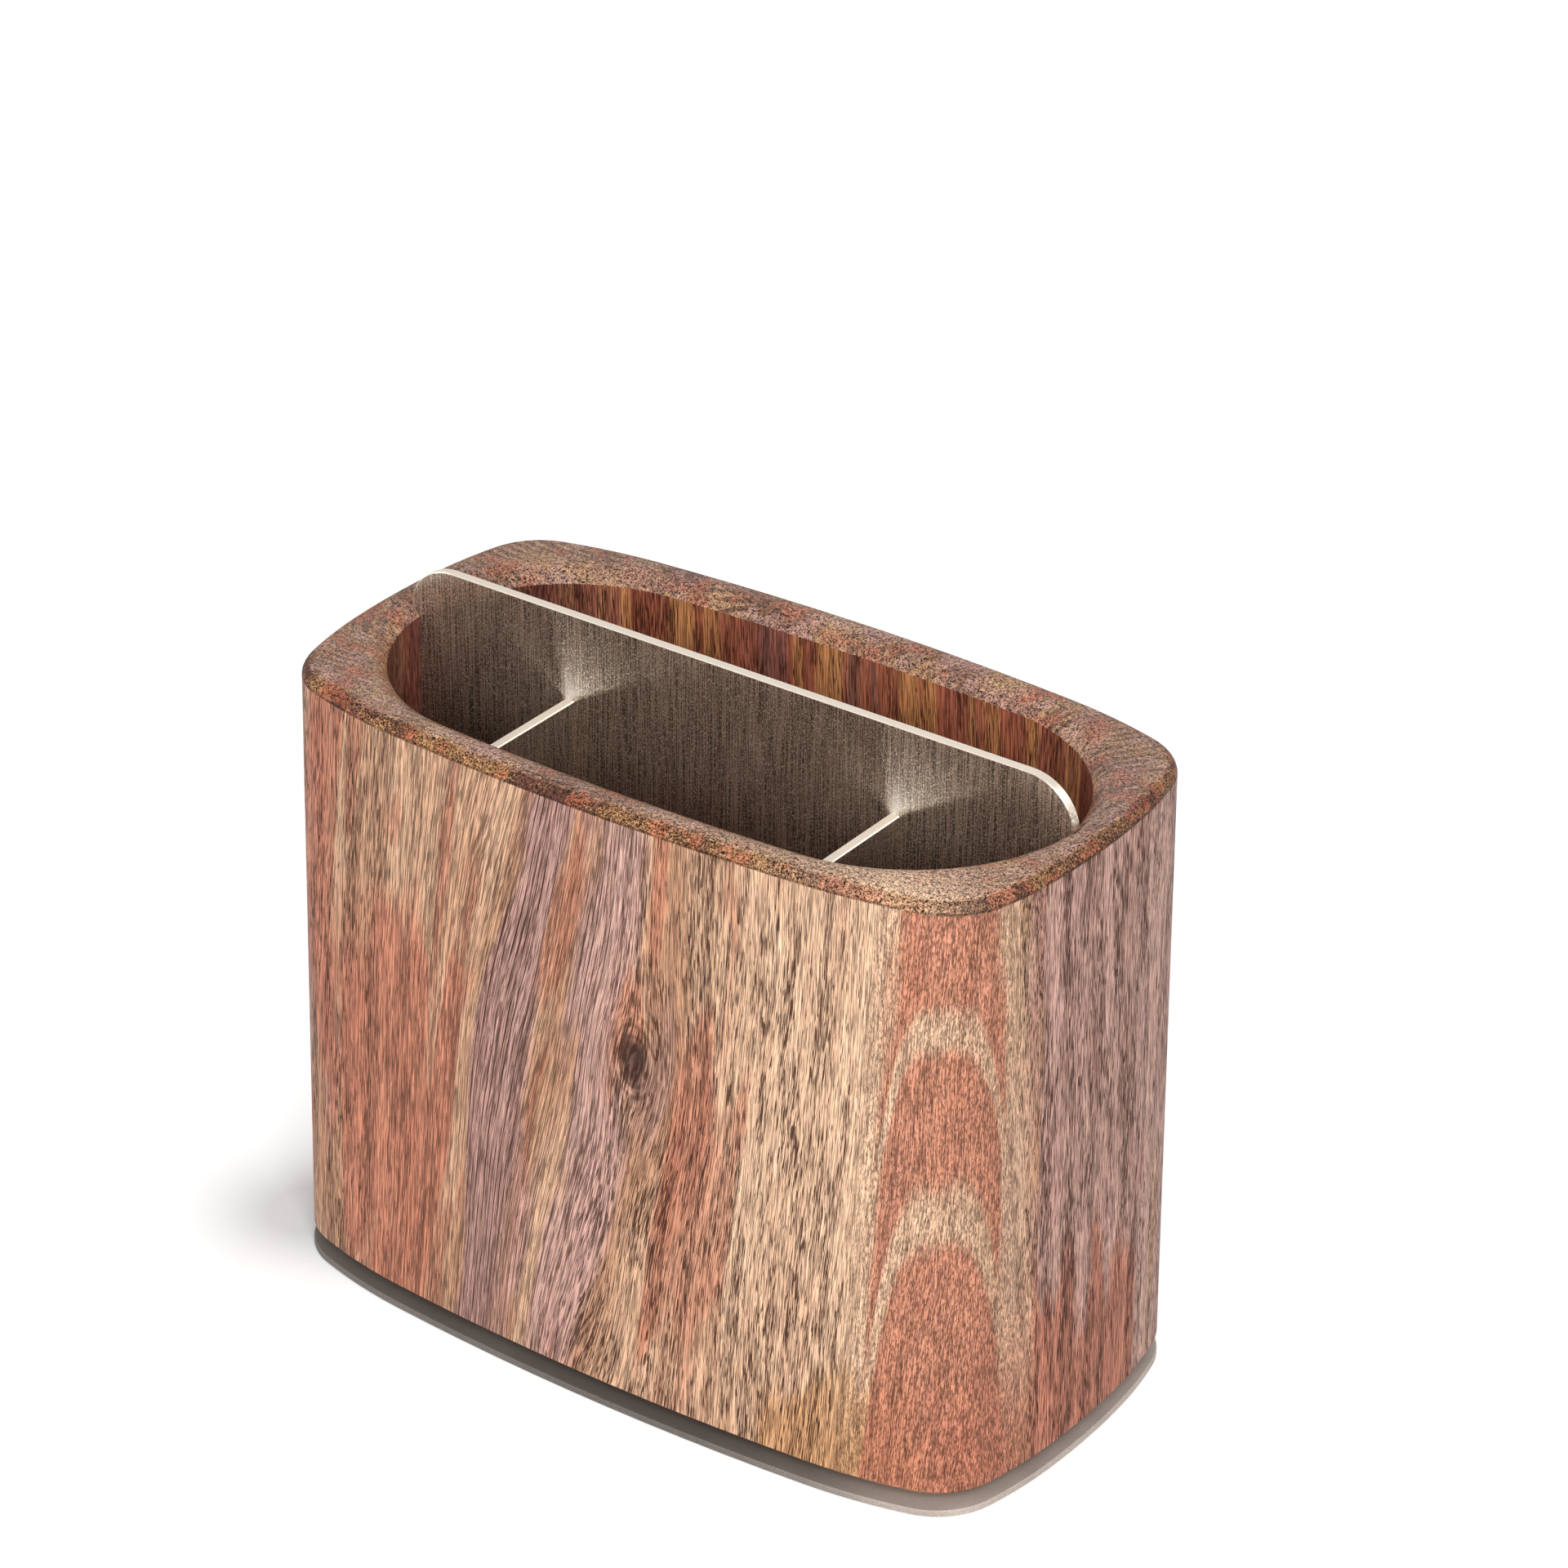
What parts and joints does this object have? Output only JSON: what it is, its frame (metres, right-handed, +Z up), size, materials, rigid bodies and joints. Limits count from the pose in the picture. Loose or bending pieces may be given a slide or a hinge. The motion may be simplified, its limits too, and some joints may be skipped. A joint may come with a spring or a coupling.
{
  "type": "utensil caddy",
  "caption": "Free-standing wooden utensil caddy with an oval well, a lift-out steel divider that parts it into compartments, and a raised steel base plate.",
  "frame": {"origin": "on the surface that the caddy stands on, under the middle of its base", "axes": "+X along the caddy's length, +Y from the front (three short compartments) to the back (one long compartment), +Z up"},
  "size_m": [0.204, 0.1112, 0.1694],
  "materials": {
    "body_wood": "oiled, fine open pores, upright grain",
    "floor_wood": "oiled",
    "base_steel": "satin, warm grey",
    "spacer_steel": "turned",
    "screw_steel": "plain stainless",
    "pad_rubber": "matt",
    "divider_steel": "brushed upright, warm steel, bright cut edges"
  },
  "bodies": {
    "caddy": {"front_board": "body_wood", "back_board": "body_wood", "left_end_block": "body_wood", "right_end_block": "body_wood", "floor_board": "floor_wood", "base_plate": "base_steel", "base_spacers": "spacer_steel", "base_screws": "screw_steel", "non_slip_pads": "pad_rubber"},
    "divider": {"divider_long_plate": "divider_steel", "divider_cross_plate_left": "divider_steel", "divider_cross_plate_right": "divider_steel"}
  },
  "joints": [
    {"name": "divider_lift", "type": "slide", "parent": "caddy", "child": "divider", "axis": [0, 0, 1], "range_m": [0, 0.15]}
  ]
}
